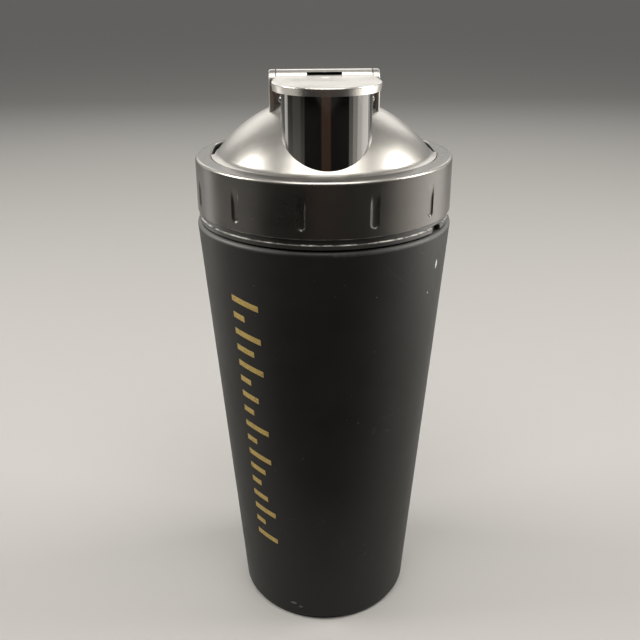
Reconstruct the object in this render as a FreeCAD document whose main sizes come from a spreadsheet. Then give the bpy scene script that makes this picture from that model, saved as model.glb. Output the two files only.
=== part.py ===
"""Metal protein shaker bottle: a tapered steel cup with a screw-on lid and a flip cap.

Millimetres. +Z is up, -Y is the front (the spout side), and the origin is the centre of the face
that stands on the table.
"""
import FreeCAD, Part
import math
import os
import re

import Sketcher

# name, size in mm (or degrees), what it is
SIZES = [
    ("stand_off", 1.2, "gap between the table and the steel"),
    ("base_radius", 35.1, "outside of the cup wall at its lower end"),
    ("shoulder_radius", 48.0, "outside of the cup wall at the shoulder"),
    ("shoulder_height", 168.1, "top of the shoulder"),
    ("steel", 0.6, "thickness of the drawn steel"),
    ("lip_radius", 30.6, "inner edge of the turned-in bottom lip"),
    ("rim_round", 1.4, "outside rounding where the steel is bent"),
    ("neck_radius", 42.0, "outside of the steel neck"),
    ("neck_height", 186.2, "top of the rolled drinking rim"),
    ("bead_reach", 1.2, "how far the rolled rim stands out"),
    ("disc_radius", 33.6, "welded bottom disc"),
    ("disc_rise", 1.6, "raised middle of the bottom disc"),
    ("disc_rise_radius", 24.0, "size of the raised middle"),
    ("pad_radius", 34.0, "non-slip base pad"),
    ("fit", 0.05, "radial gap of parts that are pushed together"),
    ("play", 0.3, "gap between parts that move past each other"),
    ("seam", 0.8, "dark gap between the shoulder and the neck ring flange"),
    ("flange_radius", 47.1, "lower step of the neck ring flange"),
    ("flange_step", 0.6, "how much the upper step is set back"),
    ("flange_depth", 1.5, "height of the lower step"),
    ("flange_top", 172.0, "top of the neck ring flange"),
    ("core_radius", 43.9, "root of the outside thread"),
    ("crest_radius", 44.7, "crest of the outside thread"),
    ("bore_radius", 44.9, "root of the inside thread"),
    ("bore_crest", 44.1, "crest of the inside thread"),
    ("lead", 9.0, "rise of the two-start thread in one turn"),
    ("thread_turns", 0.8, "length of each thread ridge in turns"),
    ("thread_base", 174.6, "middle of the outside thread at its lower end"),
    ("ridge_root", 1.8, "thread ridge at its root"),
    ("ridge_crest", 1.0, "thread ridge at its crest"),
    ("bite", 0.1, "how far a ridge is sunk into its wall"),
    ("notch_width", 6.2, "release notch in the flange"),
    ("notch_angle", 55.5, "place of the release notch, from the front towards +X"),
    ("collar_radius", 47.5, "outside of the collar"),
    ("collar_base", 172.3, "lower edge of the collar"),
    ("collar_top", 191.8, "flat top of the collar"),
    ("collar_wall", 1.45, "thickness of the collar's side"),
    ("collar_plate", 1.5, "thickness of the collar's top"),
    ("collar_round", 1.3, "rounding of the collar's top edge"),
    ("opening_radius", 41.7, "front edge of the opening for the dome"),
    ("opening_back", 45.5, "back edge of the opening for the dome"),
    ("opening_bevel", 0.4, "bevel round the opening"),
    ("dent_count", 12, "grip dents round the collar"),
    ("dent_angle", 18.4, "place of the first dent, from the front towards +X"),
    ("dent_radius", 2.2, "radius of the tool that presses a dent"),
    ("dent_depth", 0.6, "depth at the lower end, where a dent is deepest"),
    ("dent_fade", 0.1, "depth at the upper end"),
    ("dent_base", 177.0, "centre of a dent's round lower end"),
    ("dent_length", 10.5, "height over which a dent fades out"),
    ("ledge", 188.3, "black floor of the gap round the dome"),
    ("liner_top", 190.2, "top of the liner under the collar"),
    ("web", 0.9, "thickness of the liner's web"),
    ("gasket_inner", 40.9, "inside of the lid gasket"),
    ("gasket_outer", 44.0, "outside of the lid gasket"),
    ("spigot_radius", 39.4, "outside of the spigot that holds the grid"),
    ("spigot_bore", 38.4, "inside of that spigot"),
    ("spigot_base", 181.5, "lower end of that spigot"),
    ("spigot_bead", 0.4, "snap bead on the spigot"),
    ("spigot_bead_depth", 0.8, "height of the snap bead"),
    ("dome_radius", 49.63, "outside of the dome, a part of a sphere"),
    ("dome_centre", 162.45, "height of the sphere's centre"),
    ("dome_wall", 1.6, "thickness of the dome"),
    ("dome_foot", 40.2, "outside of the dome's upright foot"),
    ("dome_spigot", 1.2, "thickness of the spigot under the foot"),
    ("spigot_depth", 2.3, "depth of the spigot under the foot"),
    ("flare_round", 3.0, "hollow rounding of the dome's front foot"),
    ("flare_height", 191.7, "outer edge of the front foot"),
    ("flare_thick", 1.4, "thickness of that edge"),
    ("flare_start", 2.0, "the front foot reaches back to here, in front of the middle"),
    ("spout_place", 23.4, "spout axis, in front of the middle"),
    ("spout_radius", 15.5, "outside of the glossy sleeve"),
    ("spout_wall", 1.05, "thickness of the sleeve"),
    ("spout_top", 217.2, "top of the sleeve"),
    ("mouth_radius", 13.4, "bore of the spout"),
    ("mouth_top", 216.9, "top of the dome's own spout tube"),
    ("nub_reach", 0.7, "side nubs stand out from the sleeve by this"),
    ("nub_radius", 1.5, "radius of a nub"),
    ("nub_height", 214.3, "height of the nubs"),
    ("hinge_place", 3.5, "hinge axis, in front of the middle"),
    ("hinge_height", 217.8, "hinge axis above the table"),
    ("barrel_radius", 4.1, "hinge barrel and the ears' round tops"),
    ("barrel_half", 16.9, "half the length of the hinge barrel"),
    ("ear_inner", 17.3, "inner face of an ear's boss"),
    ("ear_web", 18.2, "inner face of an ear below its boss"),
    ("ear_outer", 19.7, "outer face of an ear"),
    ("ear_base", 207.1, "the ears start inside the dome's wall"),
    ("ear_round", 0.8, "rounding of an ear's outer edge"),
    ("pin_radius", 1.0, "steel hinge pin"),
    ("pin_half", 19.5, "half the length of the pin"),
    ("saddle_gap", 1.3, "gap between the barrel and the saddle wall behind it"),
    ("saddle_thick", 1.6, "saddle wall"),
    ("saddle_top", 213.2, "top of the saddle wall"),
    ("cap_radius", 18.6, "front of the flip cap, round the spout axis"),
    ("cap_top", 220.2, "flat top of the flip cap"),
    ("cap_depth", 2.7, "height of the flip cap's edge"),
    ("cap_draft", 9.0, "draft of that edge in degrees"),
    ("cap_round", 0.5, "rounding of the flip cap's top edge"),
    ("slot_half", 6.2, "half the width of the slot in the barrel"),
    ("slot_height", 0.9, "height of that slot"),
    ("slot_depth", 3.2, "depth of that slot"),
    ("gate_radius", 6.0, "ball that makes the moulding mark on the cap"),
    ("gate_depth", 0.22, "depth of the moulding mark"),
    ("gate_place", 14.0, "moulding mark, in front of the middle"),
    ("plug_radius", 13.1, "silicone plug under the cap"),
    ("plug_base", 214.5, "lower end of the plug"),
    ("plug_hollow", 9.5, "radius of the hollow in the plug's lower face"),
    ("plug_wall", 1.6, "thickness of the plug above that hollow"),
    ("stem_radius", 10.5, "part of the plug that is held in the cap"),
    ("stem_height", 0.8, "height of that part"),
    ("grid_radius", 41.0, "outside of the mixing grid"),
    ("grid_base", 178.6, "lower face of the mixing grid"),
    ("grid_thick", 1.4, "thickness of the grid's bars"),
    ("grid_bar", 1.6, "width of the grid's bars"),
    ("grid_pitch", 7.6, "distance between the grid's bars"),
    ("grid_bars", 10, "bars each way"),
    ("grid_top", 184.0, "top of the grid's ring"),
]
NAMES = {name for name, size, note in SIZES}

os.makedirs("parts", exist_ok=True)
doc = FreeCAD.newDocument("ShakerBottle")


# ---------------------------------------------------------------- sizes and formulas

def fill_sheet():
    """Put every driving size in the spreadsheet, with its name as the cell's alias."""
    sheet = doc.addObject("Spreadsheet::Sheet", "Sizes")
    for row, (name, size, note) in enumerate(SIZES, start=1):
        sheet.set(f"A{row}", name)
        sheet.set(f"B{row}", str(size))
        sheet.set(f"C{row}", note)
        sheet.setAlias(f"B{row}", name)
    doc.recompute()
    return sheet


sizes = fill_sheet()


def formula(text):
    """A formula in size names, written so that any object can read the sheet."""
    return re.sub(r"[a-z_]+", lambda word: f"Sizes.{word[0]}" if word[0] in NAMES else word[0], text)


def amount(text):
    """The number that a formula comes to."""
    return float(sizes.evalExpression(formula(text)))


# ---------------------------------------------------------------- sketches and bodies

def origin_part(body, role):
    return next(part for part in body.Origin.OriginFeatures if part.Role == role)


def arc_between(start, finish, centre):
    """The shorter arc between two points, and whether it runs backwards."""
    first = math.atan2(start.y - centre.y, start.x - centre.x)
    last = math.atan2(finish.y - centre.y, finish.x - centre.x)
    circle = Part.Circle(centre, FreeCAD.Vector(0, 0, 1), start.distanceToPoint(centre))
    if (last - first) % (2 * math.pi) <= math.pi:
        return Part.ArcOfCircle(circle, first, last), False
    return Part.ArcOfCircle(circle, last, first), True


def fix_distance(sketch, direction, corner, text):
    """Hold one coordinate of a corner at a formula; a coordinate of 0 lies on the other axis."""
    size = amount(text)
    if abs(size) < 1e-9:
        axis = -2 if direction == "DistanceX" else -1
        sketch.addConstraint(Sketcher.Constraint("PointOnObject", *corner, axis))
        return
    ends = (-1, 1, *corner) if size > 0 else (*corner, -1, 1)
    number = sketch.addConstraint(Sketcher.Constraint(direction, *ends, abs(size)))
    signed = formula(text) if size > 0 else f"-({formula(text)})"
    sketch.setExpression(f"Constraints[{number}]", signed)


def draw(body, name, plane, outline, lift=None):
    """A closed outline on one of the body's own planes, held by the sheet.

    A corner is (across, up). A corner (across, up, centre across, centre up) starts an arc that
    ends at the next corner. lift moves the sketch along its plane's normal.
    """
    sketch = body.newObject("Sketcher::SketchObject", name)
    sketch.AttachmentSupport = (origin_part(body, plane), "")
    sketch.MapMode = "FlatFace"
    if lift:
        sketch.setExpression("AttachmentOffset.Base.z", formula(lift))
    points = [FreeCAD.Vector(amount(corner[0]), amount(corner[1]), 0) for corner in outline]
    corners = []
    tails = []
    for index, corner in enumerate(outline):
        start = points[index]
        finish = points[(index + 1) % len(points)]
        backwards = False
        if len(corner) == 2:
            piece = Part.LineSegment(start, finish)
        else:
            centre = FreeCAD.Vector(amount(corner[2]), amount(corner[3]), 0)
            piece, backwards = arc_between(start, finish, centre)
        number = sketch.addGeometry(piece)
        corners.append((number, 2 if backwards else 1))
        tails.append((number, 1 if backwards else 2))
        if len(corner) == 4:
            radius = Sketcher.Constraint("Radius", number, start.distanceToPoint(centre))
            held = sketch.addConstraint(radius)
            across = f"({corner[0]} - ({corner[2]}))"
            up = f"({corner[1]} - ({corner[3]}))"
            sketch.setExpression(f"Constraints[{held}]", formula(f"sqrt({across}^2 + {up}^2)"))
    for index, corner in enumerate(outline):
        sketch.addConstraint(Sketcher.Constraint("Coincident", *tails[index - 1], *corners[index]))
        fix_distance(sketch, "DistanceX", corners[index], corner[0])
        fix_distance(sketch, "DistanceY", corners[index], corner[1])
    sketch.Visibility = False
    return sketch


def turned(label, outline):
    """A body turned about the Z axis from an outline of (radius, height) corners."""
    body = doc.addObject("PartDesign::Body", label)
    sketch = draw(body, label + "_profile", "XZ_Plane", outline)
    turn = body.newObject("PartDesign::Revolution", label + "_turn")
    turn.Profile = sketch
    turn.ReferenceAxis = (sketch, ["V_Axis"])
    turn.Angle = 360
    doc.recompute()
    return body


def dress(body, kind, size_name, size, pick):
    """Round or bevel the edges of the body's last feature that pick(edge) accepts."""
    base = body.Tip
    edges = [f"Edge{number}" for number, edge in enumerate(base.Shape.Edges, start=1) if pick(edge)]
    if not edges:
        raise ValueError(f"{body.Label}: no edge to {kind.lower()}")
    feature = body.newObject(f"PartDesign::{kind}", f"{body.Label}_{kind.lower()}")
    feature.Base = (base, edges)
    feature.setExpression(size_name, formula(size))
    doc.recompute()


def round_rims(body, size, rims):
    """Round the circular edges that have the given (radius, height)."""
    wanted = [(amount(radius), amount(height)) for radius, height in rims]

    def is_rim(edge):
        curve = edge.Curve
        return isinstance(curve, Part.Circle) and any(
            abs(curve.Radius - radius) < 0.01 and abs(curve.Center.z - height) < 0.01
            for radius, height in wanted)

    dress(body, "Fillet", "Radius", size, is_rim)


def pushed(body, name, kind, sketch, length, **options):
    """A Pad or Pocket of the given length."""
    before = body.Tip.Shape.Volume if body.Tip else 0.0
    feature = body.newObject(f"PartDesign::{kind}", name)
    feature.Profile = sketch
    feature.setExpression("Length", formula(length))
    for option, choice in options.items():
        setattr(feature, option, choice)
    doc.recompute()
    change = feature.Shape.Volume - before
    if (change <= 0) if kind == "Pad" else (change >= 0):
        raise ValueError(f"{name}: {kind} points the wrong way")
    return feature


# ---------------------------------------------------------------- simple solids and booleans

def place(solid, across=None, deep=None, up=None):
    for axis, text in (("x", across), ("y", deep), ("z", up)):
        if text:
            solid.setExpression(f"Placement.Base.{axis}", formula(text))


def block(name, length, width, height, across, deep, up):
    solid = doc.addObject("Part::Box", name)
    solid.setExpression("Length", formula(length))
    solid.setExpression("Width", formula(width))
    solid.setExpression("Height", formula(height))
    place(solid, across, deep, up)
    return solid


def rod(name, radius, length, across=None, deep=None, up=None, along_x=False):
    solid = doc.addObject("Part::Cylinder", name)
    solid.setExpression("Radius", formula(radius))
    solid.setExpression("Height", formula(length))
    if along_x:
        solid.Placement.Rotation = FreeCAD.Rotation(FreeCAD.Vector(0, 1, 0), 90)
    place(solid, across, deep, up)
    return solid


def ball(name, radius, across=None, deep=None, up=None):
    solid = doc.addObject("Part::Sphere", name)
    solid.setExpression("Radius", formula(radius))
    place(solid, across, deep, up)
    return solid


def join(name, solids):
    fused = doc.addObject("Part::MultiFuse", name)
    fused.Shapes = solids
    fused.Refine = True
    return fused


def share(name, solids):
    common = doc.addObject("Part::MultiCommon", name)
    common.Shapes = solids
    return common


def cut(name, base, tools):
    result = doc.addObject("Part::Cut", name)
    result.Base = base
    result.Tool = tools[0] if len(tools) == 1 else join(name + "_tools", tools)
    result.Refine = True
    return result


def around(solid, angle):
    """Turn a placed solid about the Z axis, and leave it there."""
    doc.recompute()
    for axis in "xyz":
        solid.setExpression(f"Placement.Base.{axis}", None)
    turn = FreeCAD.Placement(FreeCAD.Vector(), FreeCAD.Rotation(FreeCAD.Vector(0, 0, 1), angle))
    solid.Placement = turn.multiply(solid.Placement)


# ---------------------------------------------------------------- threads

def threaded(body, root, crest, middle):
    """Add the two-start ridge to a turned body, from its root radius to its crest radius."""
    outline = [
        (root, f"{middle} - ridge_root / 2"),
        (crest, f"{middle} - ridge_crest / 2"),
        (crest, f"{middle} + ridge_crest / 2"),
        (root, f"{middle} + ridge_root / 2"),
    ]
    sketch = draw(body, body.Label + "_ridge_profile", "XZ_Plane", outline)
    ridge = body.newObject("PartDesign::AdditiveHelix", body.Label + "_ridge")
    ridge.Profile = sketch
    ridge.ReferenceAxis = (sketch, ["V_Axis"])
    ridge.Mode = "pitch-turns-angle"
    ridge.setExpression("Pitch", formula("lead"))
    ridge.setExpression("Turns", formula("thread_turns"))
    doc.recompute()
    starts = body.newObject("PartDesign::PolarPattern", body.Label + "_starts")
    starts.Originals = [ridge]
    starts.Axis = (sketch, ["V_Axis"])
    starts.Angle = 360
    starts.Occurrences = 2
    body.Tip = starts
    doc.recompute()


# ---------------------------------------------------------------- the cup

def make_cup_wall():
    """Tapered steel wall with a turned-in lip, a flat shoulder and a neck with a rolled rim."""
    bead_base = "neck_height - 2 * steel"
    body = turned("cup_wall", [
        ("lip_radius", "stand_off"),
        ("base_radius", "stand_off"),
        ("shoulder_radius", "shoulder_height"),
        ("neck_radius", "shoulder_height"),
        ("neck_radius", bead_base),
        ("neck_radius + bead_reach", bead_base),
        ("neck_radius + bead_reach", "neck_height"),
        ("neck_radius - steel", "neck_height"),
        ("neck_radius - steel", "shoulder_height - steel"),
        ("shoulder_radius - steel", "shoulder_height - steel"),
        ("base_radius - steel", "stand_off + steel"),
        ("lip_radius", "stand_off + steel"),
    ])
    round_rims(body, "rim_round", [("base_radius", "stand_off"), ("shoulder_radius", "shoulder_height")])
    round_rims(body, "rim_round - steel", [("base_radius - steel", "stand_off + steel"),
                                           ("shoulder_radius - steel", "shoulder_height - steel")])
    round_rims(body, "steel * 0.95", [("neck_radius + bead_reach", bead_base),
                                      ("neck_radius + bead_reach", "neck_height"),
                                      ("neck_radius - steel", "neck_height")])
    return body


def make_cup_bottom():
    """Pressed disc, welded on top of the lip, with a raised middle."""
    under = "stand_off + steel"
    return turned("cup_bottom", [
        ("0", f"{under} + disc_rise"),
        ("disc_rise_radius", f"{under} + disc_rise"),
        ("disc_rise_radius + disc_rise", under),
        ("disc_radius", under),
        ("disc_radius", f"{under} + steel"),
        ("disc_rise_radius + disc_rise + steel / 2", f"{under} + steel"),
        ("disc_rise_radius + steel / 2", f"{under} + disc_rise + steel"),
        ("0", f"{under} + disc_rise + steel"),
    ])


def make_base_pad():
    """Non-slip pad: a wide sole, and a plug that fills the hole in the lip."""
    body = turned("base_pad", [
        ("0", "stand_off / 3"),
        ("lip_radius / 2", "stand_off / 3"),
        ("lip_radius / 2 + stand_off / 3", "0"),
        ("pad_radius", "0"),
        ("pad_radius", "stand_off"),
        ("lip_radius - fit", "stand_off"),
        ("lip_radius - fit", "stand_off + steel"),
        ("0", "stand_off + steel"),
    ])
    round_rims(body, "stand_off / 4", [("pad_radius", "0")])
    return body


def make_neck_ring():
    """Plastic ring round the steel neck: a stepped flange, and the outside thread above it."""
    step_height = "shoulder_height + seam + flange_depth"
    body = turned("neck_ring", [
        ("neck_radius + fit", "shoulder_height"),
        ("core_radius", "shoulder_height"),
        ("core_radius", "shoulder_height + seam"),
        ("flange_radius", "shoulder_height + seam"),
        ("flange_radius", step_height),
        ("flange_radius - flange_step", step_height),
        ("flange_radius - flange_step", "flange_top"),
        ("core_radius", "flange_top"),
        ("core_radius", "neck_height - 2 * steel - bead_reach"),
        ("core_radius - bead_reach / 2", "neck_height - 2 * steel - fit"),
        ("neck_radius + fit", "neck_height - 2 * steel - fit"),
    ])
    round_rims(body, "flange_step * 0.7", [("flange_radius", step_height)])
    threaded(body, "core_radius - bite", "crest_radius", "thread_base")
    notch = block("release_notch", "notch_width", "flange_radius - core_radius", "flange_depth + seam",
                  "-notch_width / 2", "-flange_radius - 1", "shoulder_height + seam / 2")
    around(notch, amount("notch_angle"))
    body.Label = "neck_ring_body"
    return cut("neck_ring", body, [notch])


# ---------------------------------------------------------------- the lid

def opening_outline():
    """Opening in the collar: round in front, straight at the sides, and round again at the back."""
    back = "sqrt(opening_back^2 - opening_radius^2)"
    return [
        ("opening_radius", "0"),
        ("opening_radius", back, "0", "0"),
        ("-opening_radius", back),
        ("-opening_radius", "0", "0", "0"),
        ("0", "-opening_radius", "0", "0"),
    ]


def make_lid_collar():
    """Metal collar with a flat top, an opening for the dome, and grip dents round its side."""
    inner = "collar_radius - collar_wall"
    body = turned("collar_body", [
        (inner, "collar_base"),
        ("collar_radius", "collar_base"),
        ("collar_radius", "collar_top"),
        ("dome_foot", "collar_top"),
        ("dome_foot", "collar_top - collar_plate"),
        (inner, "collar_top - collar_plate"),
    ])
    round_rims(body, "collar_round", [("collar_radius", "collar_top")])
    round_rims(body, "opening_bevel", [("collar_radius", "collar_base")])
    sketch = draw(body, "opening_profile", "XY_Plane", opening_outline(), lift="collar_top + 1")
    pushed(body, "opening", "Pocket", sketch, "collar_plate + 2")
    top = amount("collar_top")
    reach = amount("opening_back") + 0.1

    def is_opening_edge(edge):
        box = edge.BoundBox
        furthest = max(math.hypot(vertex.X, vertex.Y) for vertex in edge.Vertexes)
        return box.ZMin > top - 0.01 and furthest < reach

    dress(body, "Chamfer", "Size", "opening_bevel", is_opening_edge)
    return cut("lid_collar", body, dent_tools())


def dent_tools():
    """Leaning round-nosed tools that press the dents: deep at the lower end, fading upwards."""
    tools = []
    lean = math.degrees(math.atan(amount("(dent_depth - dent_fade) / dent_length")))
    for index in range(int(amount("dent_count"))):
        reach = "-(collar_radius + dent_radius - dent_depth)"
        nose = ball(f"dent_nose_{index}", "dent_radius", deep=reach, up="dent_base")
        shank = rod(f"dent_shank_{index}", "dent_radius", "dent_length", deep=reach, up="dent_base")
        shank.Placement.Rotation = FreeCAD.Rotation(FreeCAD.Vector(1, 0, 0), lean)
        for tool in (nose, shank):
            around(tool, amount("dent_angle") + index * 360 / amount("dent_count"))
            tools.append(tool)
    return tools


def make_lid_liner():
    """Black plastic liner: the inside thread, the gasket's seat and the spigot for the grid."""
    web_base = "ledge - web"
    body = turned("lid_liner", [
        ("bore_radius", "collar_base + play"),
        ("collar_radius - collar_wall - fit", "collar_base + play"),
        ("collar_radius - collar_wall - fit", "liner_top"),
        ("dome_foot + fit", "liner_top"),
        ("dome_foot + fit", "ledge"),
        ("spigot_bore", "ledge"),
        ("spigot_bore", "spigot_base"),
        ("spigot_radius + spigot_bead", "spigot_base"),
        ("spigot_radius + spigot_bead", "spigot_base + spigot_bead_depth"),
        ("spigot_radius", "spigot_base + spigot_bead_depth"),
        ("spigot_radius", web_base),
        ("gasket_outer + fit", web_base),
        ("gasket_outer + fit", "neck_height"),
        ("bore_radius", "neck_height"),
    ])
    threaded(body, "bore_radius + bite", "bore_crest", "thread_base + lead / 4")
    sketch = draw(body, "moat_profile", "XY_Plane", opening_outline(), lift="liner_top + 1")
    pushed(body, "moat", "Pocket", sketch, "liner_top + 1 - ledge")
    return body


def make_lid_gasket():
    return turned("lid_gasket", [
        ("gasket_inner", "neck_height + bite"),
        ("gasket_outer", "neck_height + bite"),
        ("gasket_outer", "ledge - web"),
        ("gasket_inner", "ledge - web"),
    ])


def make_ear(side, sign):
    """Upright lug with a round top and a rounded outer edge; it is seen as an arch from the side."""
    front = "-hinge_place - barrel_radius"
    back = "-hinge_place + barrel_radius"
    body = doc.addObject("PartDesign::Body", f"ear_{side}")
    arch = draw(body, f"ear_arch_{side}", "YZ_Plane", [
        (front, "ear_base"),
        (back, "ear_base"),
        (back, "hinge_height", "-hinge_place", "hinge_height"),
        ("-hinge_place", "hinge_height + barrel_radius", "-hinge_place", "hinge_height"),
        (front, "hinge_height"),
    ], lift="-ear_outer" if sign else "ear_web")
    pushed(body, f"ear_pad_{side}", "Pad", arch, "ear_outer - ear_web")
    outer = amount("ear_outer")
    base = amount("ear_base")

    def is_outer_edge(edge):
        box = edge.BoundBox
        return min(abs(box.XMin), abs(box.XMax)) > outer - 0.01 and box.ZMax > base + 0.01

    dress(body, "Fillet", "Radius", "ear_round", is_outer_edge)
    return body


def make_lid_dome():
    """Dome with a flared front foot, its own spout tube, two hinge ears and a saddle wall."""
    reach = "sqrt((dome_radius + flare_round)^2 - (flare_height + flare_round - dome_centre)^2)"
    touch = "dome_radius / (dome_radius + flare_round)"
    inner = "(dome_radius - dome_wall)"
    foot_inner = "spigot_bore - fit - dome_spigot"
    shell = turned("dome_shell", [
        ("0", "dome_centre + dome_radius", "0", "dome_centre"),
        (f"{reach} * {touch}", f"dome_centre + (flare_height + flare_round - dome_centre) * {touch}",
         reach, "flare_height + flare_round"),
        (reach, "flare_height"),
        (reach, "flare_height - flare_thick"),
        ("dome_foot", "flare_height - flare_thick"),
        ("dome_foot", "ledge"),
        ("spigot_bore - fit", "ledge"),
        ("spigot_bore - fit", "ledge - spigot_depth"),
        (foot_inner, "ledge - spigot_depth"),
        (foot_inner, f"dome_centre + sqrt({inner}^2 - ({foot_inner})^2)", "0", "dome_centre"),
        ("0", f"dome_centre + {inner}"),
    ])
    behind = block("behind_flare", "4 * dome_radius", "2 * dome_radius", "dome_radius",
                   "-2 * dome_radius", "-flare_start", "ledge - 1")
    foot = rod("foot_core", "dome_foot", "2 * dome_radius", up="dome_centre")
    relief = cut("flare_relief", behind, [foot])
    hollow = ball("dome_hollow", "dome_radius - dome_wall", up="dome_centre")
    tube = rod("spout_tube", "spout_radius - spout_wall - fit", "mouth_top - dome_centre",
               deep="-spout_place", up="dome_centre")
    upper_tube = cut("spout_tube_above", tube, [hollow])
    bore = rod("spout_bore", "mouth_radius", "mouth_top - dome_centre + 1",
               deep="-spout_place", up="dome_centre")
    pieces = [cut("dome_trimmed", shell, [relief]), upper_tube]
    holes = [bore]
    for side, sign in (("left", "-"), ("right", "")):
        boss = rod(f"ear_boss_{side}", "barrel_radius", "ear_web - ear_inner",
                   "-ear_web" if sign else "ear_inner", "-hinge_place", "hinge_height", along_x=True)
        pieces += [make_ear(side, sign), boss]
    saddle = block("saddle_wall", "2 * ear_web + 1", "saddle_thick", "saddle_top - ear_base",
                   "-ear_web - 0.5", "barrel_radius - hinge_place + saddle_gap", "ear_base")
    pieces.append(saddle)
    holes.append(rod("pin_hole", "pin_radius + fit / 2", "2 * ear_outer + 2", "-ear_outer - 1",
                     "-hinge_place", "hinge_height", along_x=True))
    return cut("lid_dome", join("dome_joined", pieces), holes)


def make_spout_sleeve():
    """Glossy sleeve over the spout tube, shaped to the dome, with a small nub on each side."""
    outer = rod("sleeve_outer", "spout_radius", "spout_top - dome_centre",
                deep="-spout_place", up="dome_centre")
    nub_across = "spout_radius + nub_reach - nub_radius"
    nubs = [ball("nub_left", "nub_radius", f"-({nub_across})", "-spout_place", "nub_height"),
            ball("nub_right", "nub_radius", nub_across, "-spout_place", "nub_height")]
    inner = rod("sleeve_inner", "spout_radius - spout_wall", "spout_top - dome_centre + 1",
                deep="-spout_place", up="dome_centre")
    dome = ball("sleeve_dome", "dome_radius", up="dome_centre")
    return cut("spout_sleeve", join("sleeve_blank", [outer, *nubs]), [inner, dome])


def make_hinge_pin():
    return rod("hinge_pin", "pin_radius", "2 * pin_half", "-pin_half", "-hinge_place", "hinge_height",
               along_x=True)


# ---------------------------------------------------------------- the flip cap

def make_flip_cap():
    """Drafted plate over the spout with the hinge barrel along its back edge."""
    body = doc.addObject("PartDesign::Body", "cap_body")
    reach = "(spout_place - hinge_place)"
    # the angle at which a straight side runs into the round front without a corner
    lean = f"(atan({reach} / barrel_half) - acos(cap_radius / sqrt({reach}^2 + barrel_half^2)))"
    side = f"cap_radius * cos({lean})"
    meet = f"cap_radius * sin({lean}) - spout_place"
    plate = draw(body, "cap_outline", "XY_Plane", [
        ("barrel_half", "-hinge_place"),
        ("-barrel_half", "-hinge_place"),
        (f"-{side}", meet, "0", "-spout_place"),
        ("0", "-spout_place - cap_radius", "0", "-spout_place"),
        (side, meet),
    ], lift="cap_top")
    pad = pushed(body, "cap_plate", "Pad", plate, "cap_depth", Reversed=True)
    pad.setExpression("TaperAngle", formula("-cap_draft"))
    doc.recompute()
    top = amount("cap_top")
    back = amount("-hinge_place")
    dress(body, "Fillet", "Radius", "cap_round",
          lambda edge: edge.BoundBox.ZMin > top - 0.01 and edge.BoundBox.YMin < back - 0.01)
    barrel = rod("hinge_barrel", "barrel_radius", "2 * barrel_half", "-barrel_half", "-hinge_place",
                 "hinge_height", along_x=True)
    holes = [
        rod("barrel_bore", "pin_radius + fit", "2 * barrel_half + 2", "-barrel_half - 1",
            "-hinge_place", "hinge_height", along_x=True),
        block("barrel_slot", "2 * slot_half", "slot_depth", "slot_height", "-slot_half",
              "-hinge_place - barrel_radius", "cap_top"),
        ball("moulding_mark", "gate_radius", deep="-gate_place", up="cap_top + gate_radius - gate_depth"),
        rod("stem_seat", "stem_radius + fit", "stem_height + fit + 1", deep="-spout_place",
            up="cap_top - cap_depth - 1"),
    ]
    return cut("flip_cap", join("cap_blank", [body, barrel]), holes)


def make_cap_seal():
    """Silicone plug: it closes the mouth, and its stem is held in the cap."""
    shelf = "cap_top - cap_depth - fit"
    body = turned("seal_body", [
        ("0", "plug_base + plug_wall"),
        ("plug_hollow", "plug_base + plug_wall"),
        ("plug_hollow", "plug_base"),
        ("plug_radius", "plug_base"),
        ("plug_radius", shelf),
        ("stem_radius", shelf),
        ("stem_radius", "cap_top - cap_depth + stem_height"),
        ("0", "cap_top - cap_depth + stem_height"),
    ])
    round_rims(body, "stem_height", [("plug_radius", "plug_base")])
    body.Label = "cap_seal"
    body.setExpression("Placement.Base.y", formula("-spout_place"))
    return body


# ---------------------------------------------------------------- the mixing grid

def make_mixing_grid():
    """Strainer: crossed bars inside a ring that snaps over the liner's spigot."""
    ring = turned("grid_ring", [
        ("spigot_radius + spigot_bead + play", "grid_base"),
        ("grid_radius", "grid_base"),
        ("grid_radius", "grid_top"),
        ("spigot_radius + play", "grid_top"),
        ("spigot_radius + play", "spigot_base + spigot_bead_depth + play"),
        ("spigot_radius + spigot_bead + play", "spigot_base + spigot_bead_depth + play"),
    ])
    bars = []
    count = int(amount("grid_bars"))
    for index in range(count):
        middle = f"{index - (count - 1) / 2} * grid_pitch - grid_bar / 2"
        bars.append(block(f"bar_across_{index}", "2 * grid_radius", "grid_bar", "grid_thick",
                          "-grid_radius", middle, "grid_base"))
        bars.append(block(f"bar_deep_{index}", "grid_bar", "2 * grid_radius", "grid_thick",
                          middle, "-grid_radius", "grid_base"))
    disc = rod("grid_disc", "grid_radius - bite", "grid_thick", up="grid_base")
    lattice = share("grid_lattice", [join("grid_bars_joined", bars), disc])
    return join("mixing_grid", [ring, lattice])


# ---------------------------------------------------------------- build, test and write

def check_document():
    doc.recompute()
    failed = [thing.Label for thing in doc.Objects if {"Invalid", "Error"} & set(thing.State)]
    if failed:
        raise RuntimeError(f"objects that failed: {failed}")


def check_piece(name, piece):
    shape = piece.Shape
    if shape.isNull() or not shape.isValid() or len(shape.Solids) != 1:
        raise RuntimeError(f"{name}: null, not valid, or not one solid")
    box = shape.BoundBox
    print(f"{name:14s} volume {shape.Volume:10.1f}  x {box.XMin:7.2f} {box.XMax:7.2f}"
          f"  y {box.YMin:7.2f} {box.YMax:7.2f}  z {box.ZMin:7.2f} {box.ZMax:7.2f}")


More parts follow.
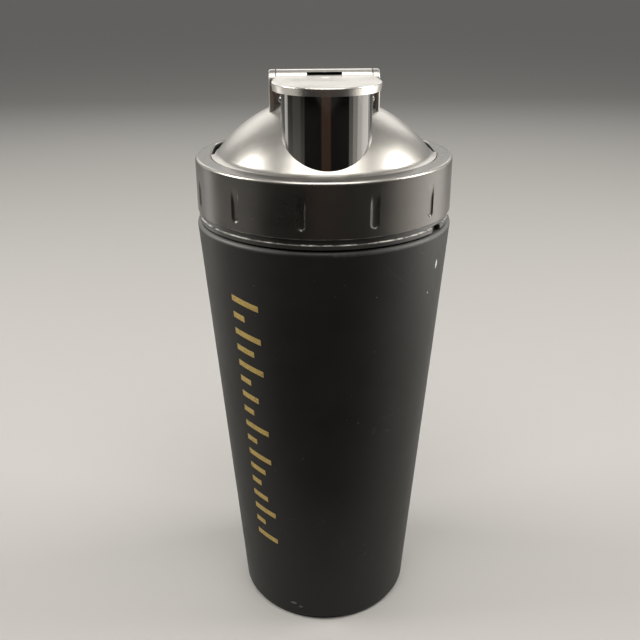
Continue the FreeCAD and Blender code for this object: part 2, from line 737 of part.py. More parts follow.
MAKERS = [
    make_cup_wall, make_cup_bottom, make_base_pad, make_neck_ring, make_mixing_grid,
    make_lid_liner, make_lid_collar, make_lid_gasket, make_lid_dome, make_spout_sleeve,
    make_hinge_pin, make_flip_cap, make_cap_seal,
]
nodes = {maker.__name__[len("make_"):]: maker() for maker in MAKERS}
check_document()
for name, piece in nodes.items():
    check_piece(name, piece)
for name, piece in nodes.items():
    piece.Label = name
    piece.Shape.exportStep(f"parts/{name}.step")
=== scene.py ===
import math

import bmesh
import bpy
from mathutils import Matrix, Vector


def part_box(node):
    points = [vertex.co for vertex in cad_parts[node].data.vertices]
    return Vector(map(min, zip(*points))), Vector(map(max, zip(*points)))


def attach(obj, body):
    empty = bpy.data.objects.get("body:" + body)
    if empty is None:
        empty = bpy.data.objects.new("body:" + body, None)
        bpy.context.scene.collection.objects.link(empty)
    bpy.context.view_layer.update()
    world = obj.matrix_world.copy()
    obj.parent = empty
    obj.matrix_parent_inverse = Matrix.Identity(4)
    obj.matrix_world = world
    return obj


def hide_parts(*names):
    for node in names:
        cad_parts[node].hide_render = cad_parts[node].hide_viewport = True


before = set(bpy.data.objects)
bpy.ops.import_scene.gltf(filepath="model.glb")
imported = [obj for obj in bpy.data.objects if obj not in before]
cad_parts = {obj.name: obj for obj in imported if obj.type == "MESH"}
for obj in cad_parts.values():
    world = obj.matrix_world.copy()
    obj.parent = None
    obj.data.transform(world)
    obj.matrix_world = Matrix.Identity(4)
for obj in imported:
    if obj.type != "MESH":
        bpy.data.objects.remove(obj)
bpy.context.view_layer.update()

MM = 0.001
scene = bpy.context.scene

# Places read from the frame, in metres.
BASE_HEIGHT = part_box("cup_wall")[0].z
PAD_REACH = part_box("base_pad")[1].x
NECK_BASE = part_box("neck_ring")[0].z
COLLAR_LOW, COLLAR_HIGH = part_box("lid_collar")
CAP_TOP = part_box("flip_cap")[1].z

# The cup's wall is a cone: its base stands out past the pad, and its shoulder past the collar above it.
COLLAR_RADIUS = COLLAR_HIGH.x
BASE_PAST_PAD = 1.1 * MM
SHOULDER_PAST_COLLAR = 0.5 * MM
SHOULDER_BELOW_COLLAR = 4.2 * MM
BASE_RADIUS = PAD_REACH + BASE_PAST_PAD
SHOULDER_RADIUS = COLLAR_RADIUS + SHOULDER_PAST_COLLAR
SHOULDER_HEIGHT = COLLAR_LOW.z - SHOULDER_BELOW_COLLAR

# The neck ring's flange has one step, this far above the ring's foot.
STEP_RISE = 2.3 * MM
FLANGE_STEP = NECK_BASE + STEP_RISE

# The slot in the hinge barrel, which is open to the front above the flip cap's plate. These numbers bound
# the painted shade inside it.
BARREL_ABOVE_PLATE = 1.7 * MM
SLOT_FLOOR = CAP_TOP - BARREL_ABOVE_PLATE
SLOT_HALF_WIDTH = 6.22 * MM
SLOT_HEIGHT = 0.92 * MM
SLOT_BACK = -6.8 * MM

# The collar: its walls, its opening and its twelve grip dents.
COLLAR_WALL = 1.45 * MM
COLLAR_PLATE = 1.5 * MM
COLLAR_RIM = 1.3 * MM
COLLAR_BEVEL = 0.4 * MM
OPENING_FRONT = 41.7 * MM
OPENING_BACK = 45.5 * MM
OPENING_SOFTNESS = 0.7 * MM
DENT_FIRST = math.radians(18.4)
DENT_STEP = math.radians(30.0)
DENT_HALF_WIDTH = 1.6 * MM
DENT_DEPTH = 0.6 * MM
DENT_FOOT = 4.7 * MM
DENT_LENGTH = 11.0 * MM
DENT_FULL_SHARE = 0.35

# Knocks through the cup's coat: degrees from the front; height, width and tallness in mm; depth from 0 to 1.
KNOCKS = (
    (57.5, 156.0, 0.8, 1.9, 1.0),
    (52.0, 146.0, 0.35, 0.5, 0.8),
    (-24.0, 7.5, 1.5, 0.7, 0.25),
    (-19.0, 6.2, 1.0, 0.5, 0.2),
)


# ---------------------------------------------------------------- camera and studio

def make_camera():
    """The main viewpoint: in front, a little to the left, and looking down."""
    lens = bpy.data.cameras.new("camera")
    lens.sensor_width = 36.0
    lens.lens = 46.03
    camera = bpy.data.objects.new("camera", lens)
    camera.location = Vector((-13.3, -304.4, 254.4)) * MM
    camera.rotation_euler = [math.radians(angle) for angle in (66.78, 0.20, -2.28)]
    scene.collection.objects.link(camera)
    scene.camera = camera


def make_softbox(name, place, target, width, height, watts, colour=(1.0, 0.97, 0.92)):
    """A soft rectangular lamp at a place, facing a target, both in metres."""
    lamp = bpy.data.lights.new(name, "AREA")
    lamp.shape = "RECTANGLE"
    lamp.size = width
    lamp.size_y = height
    lamp.energy = watts
    lamp.color = colour
    holder = bpy.data.objects.new(name, lamp)
    holder.location = place
    direction = Vector(target) - Vector(place)
    holder.rotation_euler = direction.to_track_quat("-Z", "Y").to_euler()
    holder.visible_camera = False
    scene.collection.objects.link(holder)
    return holder


def make_studio(floor):
    """Soft light from above, behind and both sides, and low strips for the gloss.

    The air is darker in front, where the camera is. The right strip is in slices, so its edges stay soft.
    """
    world = bpy.data.worlds.new("studio_air")
    world.use_nodes = True
    tree = world.node_tree
    air = tree.nodes["Background"]
    split = tree.nodes.new("ShaderNodeSeparateXYZ")
    tree.links.new(here_in_air(tree), split.inputs[0])
    strength = remap(tree, split.outputs["Y"], -0.6, 0.7, 0.04, 0.44)
    tree.links.new(strength, air.inputs["Strength"])
    air.inputs["Color"].default_value = (0.90, 0.89, 0.87, 1.0)
    scene.world = world
    scene.view_settings.view_transform = "Standard"
    middle = (0.0, 0.0, 0.19)
    make_softbox("top_box", (0.0, -0.38, 1.05), middle, 0.90, 0.62, 10.5)
    make_softbox("left_box", (-0.85, 0.06, 0.70), middle, 0.44, 0.42, 8.0)
    make_softbox("right_box", (0.85, 0.06, 0.70), middle, 0.44, 0.42, 8.0)
    make_softbox("back_box", (0.0, 1.1, 0.75), middle, 1.6, 0.55, 5.0)
    level = 0.12
    tall = 0.24
    slice_width = 0.1
    reach = 0.37
    strips = [
        make_softbox("left_strip", (-reach, -0.08, level), (0.0, -0.08, level), 0.17, tall, 0.025),
        make_softbox("left_rear_strip", (-0.33, 0.18, level), (0.0, 0.0, level), 0.10, tall, 0.13),
        make_softbox("warm_strip", (-0.03, -0.45, 0.125), (0.0, 0.0, 0.125), 0.17, 0.13, 0.017,
                     colour=(1.0, 0.5, 0.32)),
    ]
    slices = (0.03, 0.10, 0.20, 0.25, 0.21, 0.06)
    for index, watts in enumerate(slices):
        deep = (index - (len(slices) - 1) / 2) * slice_width
        strips.append(make_softbox(f"right_strip_{index}", (reach, deep, level), (0.0, deep, level),
                                   slice_width, tall, watts))
    spare_floor(strips, floor)


def spare_floor(lamps, floor):
    """The low strips are there for the gloss on the object, so they leave the floor alone."""
    spared = bpy.data.collections.new("spared_by_strips")
    spared.objects.link(floor)
    spared.collection_objects[0].light_linking.link_state = "EXCLUDE"
    for lamp in lamps:
        lamp.light_linking.receiver_collection = spared


def make_flag():
    """A black card on the floor in front, seen only in reflections, to keep the object's front dark."""
    corners = [(-0.16, -0.09), (0.13, -0.09), (1.9, -1.4), (-2.2, -1.4)]
    lift = 0.4 * MM
    mesh = bpy.data.meshes.new("reflection_flag")
    mesh.from_pydata([(across, deep, lift) for across, deep in corners], [], [(0, 1, 2, 3)])
    material, _, shader = new_material("flag_black")
    shader.inputs["Base Color"].default_value = (0.004, 0.004, 0.004, 1.0)
    shader.inputs["Specular IOR Level"].default_value = 0.0
    mesh.materials.append(material)
    flag = bpy.data.objects.new("reflection_flag", mesh)
    flag.visible_camera = False
    flag.visible_diffuse = False
    flag.visible_shadow = False
    scene.collection.objects.link(flag)


def here_in_air(tree):
    """The direction that is looked in, for the world's own shading."""
    return tree.nodes.new("ShaderNodeTexCoord").outputs["Generated"]


def make_floor():
    """A plain pale floor under the object."""
    bpy.ops.mesh.primitive_plane_add(size=40.0, location=(0.0, 0.0, 0.0))
    floor = bpy.context.object
    floor.name = "studio_floor"
    material, _, shader = new_material("floor_paint")
    shader.inputs["Base Color"].default_value = (0.36, 0.354, 0.343, 1.0)
    shader.inputs["Roughness"].default_value = 0.6
    floor.data.materials.append(material)
    return floor


# ---------------------------------------------------------------- node helpers

def new_material(name):
    """A material with its node tree and its shader node."""
    material = bpy.data.materials.new(name)
    material.use_nodes = True
    tree = material.node_tree
    return material, tree, tree.nodes["Principled BSDF"]


def feed(tree, socket, source):
    """Link a socket to the input, or write a plain value into it."""
    if isinstance(source, bpy.types.NodeSocket):
        tree.links.new(source, socket)
    else:
        socket.default_value = source


def here(tree):
    """The place on the object, in metres of the frame."""
    return tree.nodes.new("ShaderNodeTexCoord").outputs["Object"]


def calc(tree, operation, first, second=0.0, clamp=False):
    """One step of arithmetic on two values."""
    node = tree.nodes.new("ShaderNodeMath")
    node.operation = operation
    node.use_clamp = clamp
    feed(tree, node.inputs[0], first)
    feed(tree, node.inputs[1], second)
    return node.outputs[0]


def stretched(tree, place, scale):
    """Coordinates scaled by a different number along each axis."""
    node = tree.nodes.new("ShaderNodeMapping")
    feed(tree, node.inputs["Vector"], place)
    node.inputs["Scale"].default_value = scale
    return node.outputs["Vector"]


def noise(tree, place, scale, detail=3.0, roughness=0.5, distortion=0.0):
    """Cloudy noise from 0 to 1."""
    node = tree.nodes.new("ShaderNodeTexNoise")
    feed(tree, node.inputs["Vector"], place)
    node.inputs["Scale"].default_value = scale
    node.inputs["Detail"].default_value = detail
    node.inputs["Roughness"].default_value = roughness
    node.inputs["Distortion"].default_value = distortion
    return node.outputs["Fac"]


def remap(tree, source, low, high, out_low=0.0, out_high=1.0):
    """Stretch a value from one range to another, without going past the ends."""
    node = tree.nodes.new("ShaderNodeMapRange")
    feed(tree, node.inputs["Value"], source)
    node.inputs["From Min"].default_value = low
    node.inputs["From Max"].default_value = high
    node.inputs["To Min"].default_value = out_low
    node.inputs["To Max"].default_value = out_high
    return node.outputs["Result"]


def mixed(tree, factor, first, second):
    """Mix two values."""
    node = tree.nodes.new("ShaderNodeMix")
    feed(tree, node.inputs[0], factor)
    feed(tree, node.inputs[2], first)
    feed(tree, node.inputs[3], second)
    return node.outputs[0]


def blend(tree, factor, first, second):
    """Mix two colours."""
    node = tree.nodes.new("ShaderNodeMix")
    node.data_type = "RGBA"
    feed(tree, node.inputs["Factor"], factor)
    feed(tree, node.inputs["A"], first)
    feed(tree, node.inputs["B"], second)
    return node.outputs["Result"]


def bumped(tree, height, strength, distance, under=None):
    """A relief from a height, on top of an earlier relief if there is one."""
    node = tree.nodes.new("ShaderNodeBump")
    feed(tree, node.inputs["Height"], height)
    node.inputs["Strength"].default_value = strength
    node.inputs["Distance"].default_value = distance
    if under:
        feed(tree, node.inputs["Normal"], under)
    return node.outputs["Normal"]


def specks(tree, place, scale, size, share):
    """Small round spots: 1 inside a spot, in the given share of the cells."""
    node = tree.nodes.new("ShaderNodeTexVoronoi")
    feed(tree, node.inputs["Vector"], place)
    node.inputs["Scale"].default_value = scale
    near = remap(tree, node.outputs["Distance"], size, size * 0.55)
    split = tree.nodes.new("ShaderNodeSeparateColor")
    feed(tree, split.inputs[0], node.outputs["Color"])
    chosen = calc(tree, "LESS_THAN", split.outputs[0], share)
    return calc(tree, "MULTIPLY", near, chosen)


def hairlines(tree, place, scale, width, patch_scale, rarity):
    """Thin wandering lines that only show in patches."""
    wave = noise(tree, place, scale, 2.0, 0.4, 0.6)
    line = remap(tree, calc(tree, "ABSOLUTE", calc(tree, "SUBTRACT", wave, 0.5)), width, 0.0)
    patch = remap(tree, noise(tree, place, patch_scale, 1.0), rarity, rarity + 0.06)
    return calc(tree, "MULTIPLY", line, patch)


def split_place(tree, place):
    """The place's three coordinates."""
    node = tree.nodes.new("ShaderNodeSeparateXYZ")
    feed(tree, node.inputs[0], place)
    return node.outputs["X"], node.outputs["Y"], node.outputs["Z"]


def all_of(tree, *tests):
    """1 where every test is 1."""
    result = tests[0]
    for test in tests[1:]:
        result = calc(tree, "MULTIPLY", result, test)
    return result


def wall_radius(height):
    """Radius of the cup's outside at a height."""
    share = (height - BASE_HEIGHT) / (SHOULDER_HEIGHT - BASE_HEIGHT)
    return BASE_RADIUS + share * (SHOULDER_RADIUS - BASE_RADIUS)


# ---------------------------------------------------------------- materials

def coated(name, colour, dust, metallic, gloss, grain, marks=1.0):
    """Sprayed coating: fine grain, uneven sheen, light dust, and fine rubbed hairlines."""
    material, tree, shader = new_material(name)
    place = here(tree)
    cloud = noise(tree, place, 38.0, 4.0, 0.6)
    fine = noise(tree, place, 2600.0, 2.0, 0.6)
    dots = calc(tree, "MAXIMUM", specks(tree, place, 190.0, 0.055, 0.16),
                specks(tree, place, 620.0, 0.10, 0.05))
    lines = calc(tree, "MULTIPLY", hairlines(tree, place, 60.0, 0.0020, 34.0, 0.62), 0.22 * marks)
    worn = calc(tree, "MAXIMUM", calc(tree, "MULTIPLY", dots, 0.4 * marks), lines)
    darker = (colour[0] * 0.78, colour[1] * 0.78, colour[2] * 0.78, 1.0)
    paint = blend(tree, remap(tree, cloud, 0.35, 0.65), darker, (*colour, 1.0))
    feed(tree, shader.inputs["Base Color"], blend(tree, worn, paint, (*dust, 1.0)))
    shader.inputs["Metallic"].default_value = metallic
    sheen = remap(tree, cloud, 0.3, 0.7, gloss - 0.04, gloss + 0.05)
    sheen = calc(tree, "ADD", sheen, remap(tree, fine, 0.3, 0.7, -0.02, 0.02))
    duller = calc(tree, "MULTIPLY", worn, 0.25)
    feed(tree, shader.inputs["Roughness"], calc(tree, "ADD", sheen, duller, True))
    orange_peel = bumped(tree, noise(tree, place, 700.0, 2.0), grain, 0.00006)
    feed(tree, shader.inputs["Normal"], bumped(tree, fine, grain, 0.00002, orange_peel))
    return material, tree, shader


def turned_rings(tree, place):
    """Fine rings round the axis, left by turning."""
    return noise(tree, stretched(tree, place, (30.0, 30.0, 5200.0)), 1.0, 3.0, 0.6)


def brushed_steel(tree, place, rings):
    """Colour and roughness of turned stainless steel."""
    stain = noise(tree, place, 45.0, 3.0)
    colour = blend(tree, remap(tree, stain, 0.3, 0.7), (0.42, 0.42, 0.41, 1.0), (0.56, 0.56, 0.55, 1.0))
    roughness = remap(tree, rings, 0.3, 0.7, 0.20, 0.36)
    return colour, roughness


def knocks(tree, place):
    """The knocks through the coat: two near the shoulder and two faint ones near the foot."""
    bare = 0.0
    for angle, height, wide, tall, depth in KNOCKS:
        turn = math.radians(angle)
        radius = wall_radius(height * MM)
        middle = Vector((radius * math.sin(turn), -radius * math.cos(turn), height * MM))
        offset = tree.nodes.new("ShaderNodeVectorMath")
        offset.operation = "SUBTRACT"
        feed(tree, offset.inputs[0], place)
        offset.inputs[1].default_value = middle
        scaled = stretched(tree, offset.outputs[0], (1 / (wide * MM), 1 / (wide * MM), 1 / (tall * MM)))
        away = tree.nodes.new("ShaderNodeVectorMath")
        away.operation = "LENGTH"
        feed(tree, away.inputs[0], scaled)
        ragged = calc(tree, "ADD", away.outputs["Value"], noise(tree, place, 2200.0, 2.0))
        bare = calc(tree, "MAXIMUM", bare, remap(tree, ragged, 1.5, 1.2, 0.0, depth))
    return bare


def coat_area(tree, place):
    """1 where the cup is coated: its side, its turned-in foot and the outer part of its shoulder."""
    skin_depth = 0.3 * MM
    foot_height = 0.3 * MM
    shoulder_drop = 1.6 * MM
    shoulder_inner = 44.5 * MM
    across, deep, up = split_place(tree, place)
    squares = calc(tree, "ADD", calc(tree, "POWER", across, 2.0), calc(tree, "POWER", deep, 2.0))
    radius = calc(tree, "SQRT", squares)
    slope = (SHOULDER_RADIUS - BASE_RADIUS) / (SHOULDER_HEIGHT - BASE_HEIGHT)
    wall = calc(tree, "MULTIPLY", calc(tree, "SUBTRACT", up, BASE_HEIGHT), slope)
    outside = calc(tree, "GREATER_THAN", radius, calc(tree, "ADD", wall, BASE_RADIUS - skin_depth))
    below_neck = calc(tree, "LESS_THAN", up, SHOULDER_HEIGHT + 0.2 * MM)
    side = all_of(tree, outside, below_neck)
    foot = calc(tree, "LESS_THAN", up, BASE_HEIGHT + foot_height)
    high = calc(tree, "GREATER_THAN", up, SHOULDER_HEIGHT - shoulder_drop)
    wide = calc(tree, "GREATER_THAN", radius, shoulder_inner)
    shoulder = all_of(tree, high, wide, below_neck)
    return calc(tree, "MAXIMUM", calc(tree, "MAXIMUM", side, foot), shoulder)


def make_cup_coat():
    """Black powder coat outside; bare steel inside, on the neck and on the rolled rim."""
    material, tree, shader = coated("cup_coat_black", (0.0135, 0.0132, 0.0122), (0.24, 0.23, 0.22),
                                    0.0, 0.46, 0.35)
    shader.inputs["Specular IOR Level"].default_value = 0.20
    paint = shader.inputs["Base Color"].links[0].from_socket
    paint_gloss = shader.inputs["Roughness"].links[0].from_socket
    paint_normal = shader.inputs["Normal"].links[0].from_socket
    place = here(tree)
    across, _, up = split_place(tree, place)
    # Partly wear and partly a painted highlight: a bare-steel band along the shoulder's rolled edge,
    # stronger towards the sides and faint at the front, gives the shoulder its highlight.
    brow = remap(tree, up, SHOULDER_HEIGHT - 1.5 * MM, SHOULDER_HEIGHT - 0.7 * MM)
    sheen_by_side = remap(tree, calc(tree, "ABSOLUTE", across), 12.0 * MM, 42.0 * MM, 0.0, 0.22)
    bare = calc(tree, "MAXIMUM", calc(tree, "MULTIPLY", brow, sheen_by_side), knocks(tree, place))
    painted = calc(tree, "SUBTRACT", coat_area(tree, place), bare, True)
    colour, roughness = brushed_steel(tree, place, turned_rings(tree, place))
    feed(tree, shader.inputs["Base Color"], blend(tree, painted, colour, paint))
    feed(tree, shader.inputs["Metallic"], calc(tree, "SUBTRACT", 1.0, painted, True))
    feed(tree, shader.inputs["Roughness"], mixed(tree, painted, roughness, paint_gloss))
    feed(tree, shader.inputs["Normal"], bumped(tree, painted, 0.4, 0.00005, paint_normal))
    return material


def make_bare_steel():
    """Turned stainless steel."""
    material, tree, shader = new_material("bare_steel_turned")
    place = here(tree)
    rings = turned_rings(tree, place)
    colour, roughness = brushed_steel(tree, place, rings)
    feed(tree, shader.inputs["Base Color"], colour)
    feed(tree, shader.inputs["Roughness"], roughness)
    shader.inputs["Metallic"].default_value = 1.0
    feed(tree, shader.inputs["Normal"], bumped(tree, rings, 0.25, 0.00002))
    return material


def rubbed(tree, shader, amount, colour, gloss):
    """Turn part of a finish into another colour and roughness, by an amount from 0 to 1."""
    paint = shader.inputs["Base Color"].links[0].from_socket
    paint_gloss = shader.inputs["Roughness"].links[0].from_socket
    feed(tree, shader.inputs["Base Color"], blend(tree, amount, paint, colour))
    feed(tree, shader.inputs["Roughness"], mixed(tree, amount, paint_gloss, gloss))


def make_collar_coat():
    """Dark gunmetal satin, worn a little along its lower edge and more on its rounded top edge."""
    material, tree, shader = coated("collar_gunmetal", (0.084, 0.080, 0.074), (0.50, 0.48, 0.45),
                                    0.8, 0.30, 0.26, 1.5)
    place = here(tree)
    _, _, up = split_place(tree, place)
    low, high = COLLAR_LOW.z, COLLAR_HIGH.z
    edge = remap(tree, up, low + 0.55 * MM, low + 0.25 * MM)
    patches = remap(tree, noise(tree, place, 150.0, 3.0, 0.6), 0.42, 0.58, 0.06, 0.35)
    crown = remap(tree, up, high - 1.1 * MM, high - 0.5 * MM, 0.0, 0.5)
    not_flat_top = remap(tree, up, high - 0.12 * MM, high - 0.03 * MM, 1.0, 0.1)
    worn_low = calc(tree, "MULTIPLY", edge, patches)
    worn_high = calc(tree, "MULTIPLY", crown, not_flat_top)
    worn = calc(tree, "MAXIMUM", worn_low, worn_high)
    rubbed(tree, shader, worn, (0.62, 0.60, 0.56, 1.0), 0.27)
    return material


def make_cap_coat():
    """The dome's finish, with the deep slot in the hinge barrel coloured near-black as painted shade for its
    hollow.
    """
    material, tree, shader = coated("cap_gunmetal", (0.62, 0.60, 0.565), (0.55, 0.54, 0.51),
                                    0.92, 0.30, 0.10, 0.4)
    paint = shader.inputs["Base Color"].links[0].from_socket
    across, deep, up = split_place(tree, here(tree))
    inside = all_of(
        tree,
        calc(tree, "LESS_THAN", calc(tree, "ABSOLUTE", across), SLOT_HALF_WIDTH),
        calc(tree, "GREATER_THAN", up, SLOT_FLOOR - 0.01 * MM),
        calc(tree, "LESS_THAN", up, SLOT_FLOOR + SLOT_HEIGHT),
        calc(tree, "GREATER_THAN", deep, SLOT_BACK),
    )
    # Painted shade: the slot's inside is coloured near-black to stand for the shade in that hollow.
    feed(tree, shader.inputs["Base Color"], blend(tree, inside, paint, (0.006, 0.006, 0.006, 1.0)))
    return material


def make_plastic(name, colour, gloss, texture):
    """Moulded plastic: spark-eroded texture, faint flow marks and a little dust."""
    material, tree, shader = new_material(name)
    place = here(tree)
    flow = noise(tree, stretched(tree, place, (60.0, 60.0, 20.0)), 1.0, 3.0)
    pits = noise(tree, place, 1900.0, 3.0, 0.6)
    dots = specks(tree, place, 260.0, 0.07, 0.12)
    darker = (colour[0] * 0.7, colour[1] * 0.7, colour[2] * 0.7, 1.0)
    body = blend(tree, remap(tree, flow, 0.35, 0.65), darker, (*colour, 1.0))
    dusty = (colour[0] + 0.1, colour[1] + 0.1, colour[2] + 0.095, 1.0)
    feed(tree, shader.inputs["Base Color"], blend(tree, calc(tree, "MULTIPLY", dots, 0.4), body, dusty))
    feed(tree, shader.inputs["Roughness"], remap(tree, pits, 0.3, 0.7, gloss - 0.06, gloss + 0.08))
    feed(tree, shader.inputs["Normal"], bumped(tree, pits, texture, 0.00004))
    shader.inputs["Specular IOR Level"].default_value = 0.35
    return material, tree, shader


def make_neck_plastic():
    """Smoother black plastic, with the edge of the flange's step worn bright in patches."""
    material, tree, shader = make_plastic("neck_plastic", (0.030, 0.029, 0.027), 0.36, 0.25)
    place = here(tree)
    _, _, up = split_place(tree, place)
    away = calc(tree, "ABSOLUTE", calc(tree, "SUBTRACT", up, FLANGE_STEP))
    patches = remap(tree, noise(tree, place, 260.0, 3.0, 0.65), 0.40, 0.60, 0.12, 1.0)
    worn = calc(tree, "MULTIPLY", remap(tree, away, 0.20 * MM, 0.08 * MM), patches)
    rubbed(tree, shader, worn, (0.60, 0.58, 0.55, 1.0), 0.3)
    return material


def make_silicone():
    """Grey silicone that lets a little light in."""
    material, _, shader = make_plastic("silicone_grey", (0.20, 0.20, 0.195), 0.5, 0.15)
    shader.inputs["Subsurface Weight"].default_value = 0.15
    shader.inputs["Subsurface Scale"].default_value = 0.001
    return material


def make_mirror_black():
    """Polished black plastic: a deep mirror with faint waviness, dust and fine wiping marks."""
    material, tree, shader = new_material("spout_gloss_black")
    place = here(tree)
    lines = hairlines(tree, stretched(tree, place, (1.0, 1.0, 0.3)), 240.0, 0.006, 120.0, 0.55)
    dots = specks(tree, place, 420.0, 0.09, 0.06)
    marks = calc(tree, "MAXIMUM", calc(tree, "MULTIPLY", lines, 0.25), calc(tree, "MULTIPLY", dots, 0.4))
    paint = blend(tree, marks, (0.085, 0.081, 0.076, 1.0), (0.3, 0.28, 0.26, 1.0))
    feed(tree, shader.inputs["Base Color"], paint)
    shader.inputs["Metallic"].default_value = 0.88
    smear = noise(tree, place, 160.0, 3.0)
    sheen = remap(tree, smear, 0.4, 0.7, 0.05, 0.10)
    duller = calc(tree, "MULTIPLY", marks, 0.4)
    feed(tree, shader.inputs["Roughness"], calc(tree, "ADD", sheen, duller, True))
    waves = noise(tree, stretched(tree, place, (1.0, 1.0, 0.15)), 130.0, 1.0)
    feed(tree, shader.inputs["Normal"], bumped(tree, waves, 0.06, 0.0004))
    shader.inputs["Coat Weight"].default_value = 0.6
    shader.inputs["Coat Roughness"].default_value = 0.04
    return material


def make_gold_print():
    """Dull gold ink with small rubbed spots."""
    material, tree, shader = new_material("gold_print")
    place = here(tree)
    grain = noise(tree, place, 1500.0, 3.0, 0.6)
    spots = remap(tree, noise(tree, place, 520.0, 3.0, 0.6), 0.60, 0.68)
    gold = blend(tree, remap(tree, grain, 0.35, 0.65), (0.36, 0.25, 0.07, 1.0), (0.50, 0.37, 0.12, 1.0))
    feed(tree, shader.inputs["Base Color"], blend(tree, calc(tree, "MULTIPLY", spots, 0.5), gold,
                                                  (0.05, 0.045, 0.03, 1.0)))
    shader.inputs["Metallic"].default_value = 0.55
    feed(tree, shader.inputs["Roughness"], remap(tree, grain, 0.3, 0.7, 0.38, 0.50))
    feed(tree, shader.inputs["Normal"], bumped(tree, grain, 0.3, 0.00002))
    return material


def dress(node, material):
    """Give a node of the frame its material."""
    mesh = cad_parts[node].data
    mesh.materials.clear()
    mesh.materials.append(material)


def dress_frame(collar):
    """Give every node of the frame its finish; the collar's is shared with the Blender collar."""
    dome = coated("dome_gunmetal", (0.42, 0.405, 0.38), (0.6, 0.59, 0.56), 0.92, 0.32, 0.06, 0.12)[0]
    black = make_plastic("black_plastic", (0.014, 0.014, 0.013), 0.42, 0.35)[0]
    rubber = make_plastic("pad_rubber_black", (0.022, 0.022, 0.021), 0.72, 0.6)[0]
    steel = make_bare_steel()
    silicone = make_silicone()
    finishes = {
        "cup_wall": make_cup_coat(),
        "cup_bottom": steel,
        "hinge_pin": steel,
        "base_pad": rubber,
        "neck_ring": make_neck_plastic(),
        "mixing_grid": black,
        "lid_liner": black,
        "lid_collar": collar,
        "lid_dome": dome,
        "flip_cap": make_cap_coat(),
        "spout_sleeve": make_mirror_black(),
        "lid_gasket": silicone,
        "cap_seal": silicone,
    }
    for node, finish in finishes.items():
        dress(node, finish)


# ---------------------------------------------------------------- the printed motif

def make_motif():
    """A plain column of slanting gold bars, printed on the cup: no letters, only bars of three lengths."""
    left = math.radians(-47.8)
    width = math.radians(15.2)
    low = 40.0 * MM
    pitch = 6.6 * MM
    thick = 2.3 * MM
    drop = 2.1 * MM
    lift = 0.02 * MM
    sunk = 0.05 * MM
    steps = 14
    lengths = (1.0, 0.45, 1.0, 0.7, 0.45, 0.7, 1.0, 0.45, 1.0, 0.45, 0.7, 0.45, 1.0, 0.7, 1.0, 0.45, 1.0)
    builder = bmesh.new()
    profile = ((0.0, -sunk), (0.0, lift), (thick, lift), (thick, -sunk))
    for index, share in enumerate(lengths):
        rows = []
        for edge, rise in profile:
            row = []
            for step in range(steps + 1):
                along = step / steps * share
                angle = left + width * along
                height = low + index * pitch + edge - drop * along
                radius = wall_radius(height) + rise
                row.append(builder.verts.new(round_the_axis(radius, angle, height)))
            rows.append(row)
        for row, after in zip(rows, rows[1:] + rows[:1]):
            for step in range(steps):
                builder.faces.new((row[step], row[step + 1], after[step + 1], after[step]))
        builder.faces.new([row[0] for row in rows])
        builder.faces.new([row[-1] for row in rows])
    motif = finished("gold_motif", builder, make_gold_print())
    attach(motif, "cup")


# ---------------------------------------------------------------- the collar, with smooth dents

def opening_radius(angle):
    """The collar's opening: round in front, straight at the sides, and round and wider at the back."""
    if math.cos(angle) >= 0:
        return OPENING_FRONT
    side = min(OPENING_FRONT / max(abs(math.sin(angle)), 1e-6), 2 * OPENING_BACK)
    past = (OPENING_BACK - side) / OPENING_SOFTNESS
    return OPENING_BACK - OPENING_SOFTNESS * math.log(1.0 + math.exp(past))


def dent_depth(angle, height):
    """How deep the nearest grip dent is there: round at its lower end, fading out at its top."""
    away = (angle - DENT_FIRST + DENT_STEP / 2) % DENT_STEP - DENT_STEP / 2
    across = away * COLLAR_RADIUS
    up = height - (COLLAR_LOW.z + DENT_FOOT)
    if up < 0:
        reach = math.hypot(across, up)
        fade = 1.0
    else:
        reach = abs(across)
        share = min(1.0, max(0.0, (up / DENT_LENGTH - DENT_FULL_SHARE) / (1.0 - DENT_FULL_SHARE)))
        fade = 1.0 - share * share * (3.0 - 2.0 * share)
    part = reach / DENT_HALF_WIDTH
    if part >= 1.0:
        return 0.0
    return DENT_DEPTH * fade * (1.0 - part ** 4)


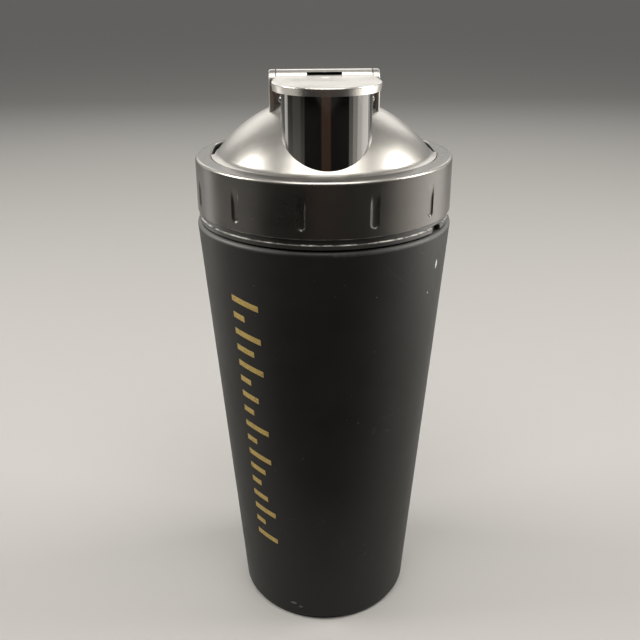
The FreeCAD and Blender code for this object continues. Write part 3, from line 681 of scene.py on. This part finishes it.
def collar_profile():
    """The collar's section, from inside at the bottom, up its side and over to the inside again.

    Each row is a function that gives the radius at an angle, and a height.
    """
    outer = COLLAR_RADIUS
    inner = outer - COLLAR_WALL
    low = COLLAR_LOW.z
    top = COLLAR_HIGH.z
    plate = top - COLLAR_PLATE
    rows = [(lambda angle: inner, low), (lambda angle: outer - COLLAR_BEVEL, low)]
    side_rows = 60
    side_low = low + COLLAR_BEVEL
    side_high = top - COLLAR_RIM
    for step in range(side_rows + 1):
        height = side_low + (side_high - side_low) * step / side_rows
        rows.append((lambda angle, height=height: outer - dent_depth(angle, height), height))
    rim_rows = 8
    for step in range(1, rim_rows + 1):
        turn = math.radians(90.0 * step / rim_rows)
        reach = outer - COLLAR_RIM + COLLAR_RIM * math.cos(turn)
        rows.append((lambda angle, reach=reach: reach, top - COLLAR_RIM + COLLAR_RIM * math.sin(turn)))
    for share in (0.3, 0.65, 1.0):
        rows.append((lambda angle, share=share: (outer - COLLAR_RIM) * (1 - share)
                     + (opening_radius(angle) + COLLAR_BEVEL) * share, top))
    rows.append((opening_radius, top - COLLAR_BEVEL))
    rows.append((opening_radius, plate))
    rows.append((lambda angle: inner, plate - 0.02 * MM))
    return rows


def make_collar(material):
    """Collar with a flat top, its opening, a rounded rim and twelve pressed dents."""
    around = 1080
    builder = bmesh.new()
    rings = []
    for reach, height in collar_profile():
        ring = []
        for step in range(around):
            angle = 2 * math.pi * step / around
            ring.append(builder.verts.new(round_the_axis(reach(angle), angle, height)))
        rings.append(ring)
    for lower, upper in zip(rings, rings[1:] + rings[:1]):
        for step in range(around):
            after = (step + 1) % around
            builder.faces.new((lower[step], lower[after], upper[after], upper[step]))
    collar = finished("lid_collar_pressed", builder, material)
    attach(collar, "lid")
    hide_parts("lid_collar")


# ---------------------------------------------------------------- shared by both

def round_the_axis(radius, angle, height):
    """A point at a radius and a height, turned by an angle from the front towards +X."""
    return radius * math.sin(angle), -radius * math.cos(angle), height


def finished(name, builder, material):
    """An object from a finished mesh builder, smooth except at its sharp edges."""
    mesh = bpy.data.meshes.new(name)
    bmesh.ops.recalc_face_normals(builder, faces=builder.faces)
    builder.to_mesh(mesh)
    builder.free()
    mesh.shade_smooth()
    mesh.set_sharp_from_angle(angle=math.radians(38.0))
    mesh.materials.append(material)
    piece = bpy.data.objects.new(name, mesh)
    scene.collection.objects.link(piece)
    return piece


make_camera()
make_studio(make_floor())
make_flag()
collar_coat = make_collar_coat()
dress_frame(collar_coat)
make_collar(collar_coat)
make_motif()
